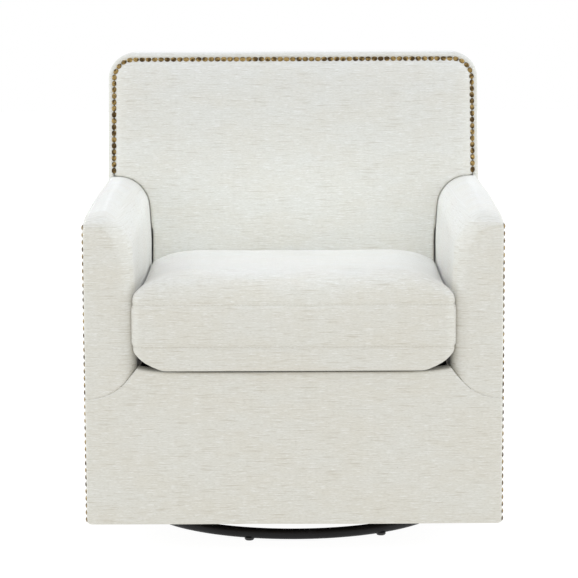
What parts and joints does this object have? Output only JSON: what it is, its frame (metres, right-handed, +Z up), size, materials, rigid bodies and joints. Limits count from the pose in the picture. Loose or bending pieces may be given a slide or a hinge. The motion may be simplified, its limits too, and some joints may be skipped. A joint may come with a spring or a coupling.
{
  "type": "glider nursery chair",
  "caption": "Square-armed upholstered glider chair that glides on hidden swinging links and swivels on a round tube base, with a loose box seat cushion and nail-head trim.",
  "frame": {"origin": "on the floor, on the swivel axis, at the middle of the base", "axes": "+Z up, -Y towards the front of the seat, +X to the right for somebody facing the chair's front"},
  "size_m": [0.7652, 0.797, 0.895],
  "materials": {
    "black_ring": "satin black paint",
    "glide_plastic": "matt",
    "black_steel": "satin black paint",
    "bright_steel": "zinc plated",
    "bumper_rubber": "matt",
    "frame_wood": "bare hardwood",
    "spring_steel": "oiled",
    "nail_brass": "antique brass",
    "deck_cloth": "woven",
    "foam": "cut foam",
    "ivory_fabric": "linen-look weave"
  },
  "bodies": {
    "base": {"base_ring": "black_ring", "base_spokes": "black_steel", "hub_plate": "black_steel", "floor_glides": "glide_plastic", "lower_race": "bright_steel", "bearing_balls": "bright_steel", "king_pin": "bright_steel"},
    "turntable": {"upper_race": "bright_steel", "turntable_plate": "black_steel", "cross_channel_front": "black_steel", "cross_channel_rear": "black_steel", "hanger_left_plate": "black_steel", "hanger_right_plate": "black_steel", "upper_pins": "bright_steel"},
    "link_front_left": {"link_bar_front_left": "black_steel", "link_bearings_front_left": "bright_steel"},
    "link_front_right": {"link_bar_front_right": "black_steel", "link_bearings_front_right": "bright_steel"},
    "link_rear_left": {"link_bar_rear_left": "black_steel", "link_bearings_rear_left": "bright_steel"},
    "link_rear_right": {"link_bar_rear_right": "black_steel", "link_bearings_rear_right": "bright_steel"},
    "chair": {"rail_bolts": "bright_steel", "glide_rail_left": "black_steel", "glide_rail_right": "black_steel", "lower_pins": "bright_steel", "lag_screws": "bright_steel", "cross_bar_front": "black_steel", "cross_bar_rear": "black_steel", "bumpers": "bumper_rubber", "frame_side_left": "frame_wood", "front_post_left": "frame_wood", "arm_rail_left": "frame_wood", "back_post_left": "frame_wood", "frame_side_right": "frame_wood", "front_post_right": "frame_wood", "arm_rail_right": "frame_wood", "back_post_right": "frame_wood", "frame_front_rail": "frame_wood", "frame_rear_rail": "frame_wood", "back_low_rail": "frame_wood", "back_top_rail": "frame_wood", "corner_blocks": "frame_wood", "seat_springs": "spring_steel", "spring_clips": "spring_steel", "arm_side_left": "ivory_fabric", "arm_front_left": "ivory_fabric", "arm_pad_left": "ivory_fabric", "arm_side_right": "ivory_fabric", "arm_front_right": "ivory_fabric", "arm_pad_right": "ivory_fabric", "front_panel": "ivory_fabric", "inside_back": "ivory_fabric", "back_border": "ivory_fabric", "outside_back": "ivory_fabric", "seat_deck": "deck_cloth", "arm_nails": "nail_brass", "back_nails": "nail_brass"},
    "seat_cushion": {"cushion_foam": "foam", "cushion_cover": "ivory_fabric"}
  },
  "joints": [
    {"name": "swivel", "type": "hinge", "parent": "base", "child": "turntable", "pos_m": [0, 0, 0.04], "axis": [0, 0, 1], "continuous": true},
    {"name": "glide", "type": "hinge", "parent": "turntable", "child": "link_front_left", "pos_m": [-0.211, -0.11, 0.245], "axis": [1, 0, 0], "range_deg": [-22, 22]},
    {"name": "swing_front_right", "type": "hinge", "parent": "turntable", "child": "link_front_right", "pos_m": [0.211, -0.11, 0.245], "axis": [1, 0, 0], "range_deg": [-23, 23]},
    {"name": "swing_rear_left", "type": "hinge", "parent": "turntable", "child": "link_rear_left", "pos_m": [-0.211, 0.11, 0.245], "axis": [1, 0, 0], "range_deg": [-23, 23]},
    {"name": "swing_rear_right", "type": "hinge", "parent": "turntable", "child": "link_rear_right", "pos_m": [0.211, 0.11, 0.245], "axis": [1, 0, 0], "range_deg": [-23, 23]},
    {"name": "carriage_level", "type": "hinge", "parent": "link_front_left", "child": "chair", "pos_m": [-0.211, -0.11, 0.095], "axis": [1, 0, 0], "range_deg": [-23, 23]},
    {"name": "cushion_lift", "type": "slide", "parent": "chair", "child": "seat_cushion", "axis": [0, 0, 1], "range_m": [0, 0.25]}
  ],
  "couplings": [
    {"joint": "swing_front_right", "follows": "glide", "ratio": 1},
    {"joint": "swing_rear_left", "follows": "glide", "ratio": 1},
    {"joint": "swing_rear_right", "follows": "glide", "ratio": 1},
    {"joint": "carriage_level", "follows": "glide", "ratio": -1}
  ]
}
